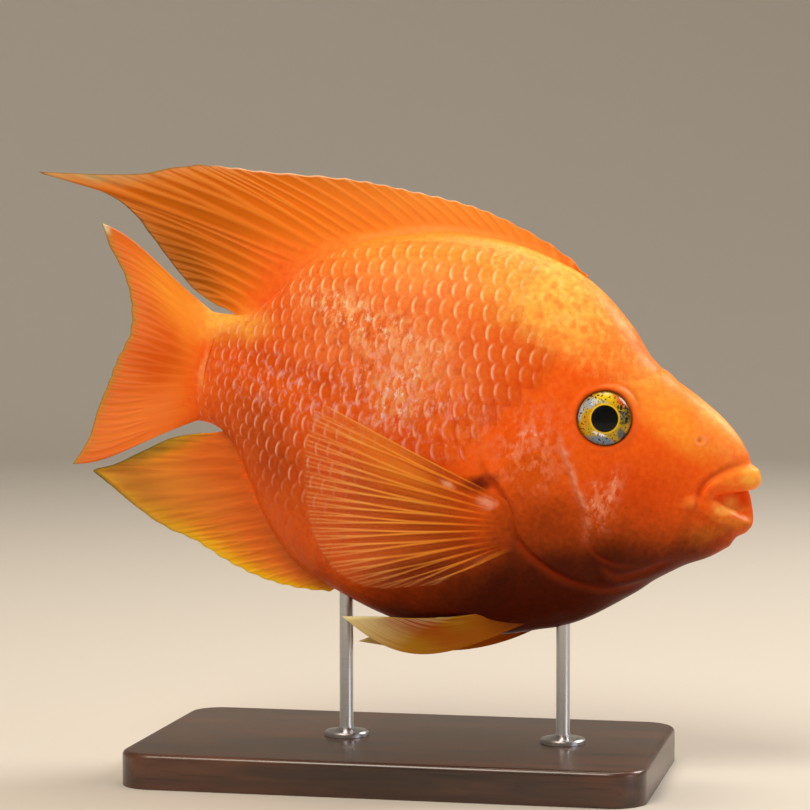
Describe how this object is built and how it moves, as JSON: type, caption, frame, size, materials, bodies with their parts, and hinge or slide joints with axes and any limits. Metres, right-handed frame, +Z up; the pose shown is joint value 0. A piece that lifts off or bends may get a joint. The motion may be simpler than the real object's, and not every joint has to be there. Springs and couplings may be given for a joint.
{
  "type": "blood parrot cichlid model on a display stand",
  "caption": "Life-size still model of an orange blood parrot cichlid, nose down and fins spread, held over a flat wooden base by slim steel rods.",
  "frame": {"origin": "centre of the underside of the stand's base, on the floor", "axes": "+X the way the fish swims, +Y to its left side, +Z up"},
  "size_m": [0.2143, 0.086, 0.1768],
  "materials": {
    "orange_skin": "wet orange fish skin",
    "fin_membrane": "thin orange fin membrane, slightly see-through",
    "eye_glass": "glossy gold eye with a black pupil",
    "dark_wood": "satin dark wood",
    "brushed_steel": "brushed"
  },
  "bodies": {
    "root": {"head": "orange_skin", "gill_cover_right": "orange_skin", "gill_cover_left": "orange_skin", "trunk": "orange_skin", "tail_stem": "orange_skin", "dorsal_fin": "fin_membrane", "caudal_fin": "fin_membrane", "anal_fin": "fin_membrane", "pectoral_fin_right": "fin_membrane", "pectoral_fin_left": "fin_membrane", "pelvic_fin_right": "fin_membrane", "pelvic_fin_left": "fin_membrane", "eye_right": "eye_glass", "eye_left": "eye_glass", "stand_base": "dark_wood", "stand_rod_front": "brushed_steel", "stand_rod_rear": "brushed_steel"}
  },
  "joints": []
}
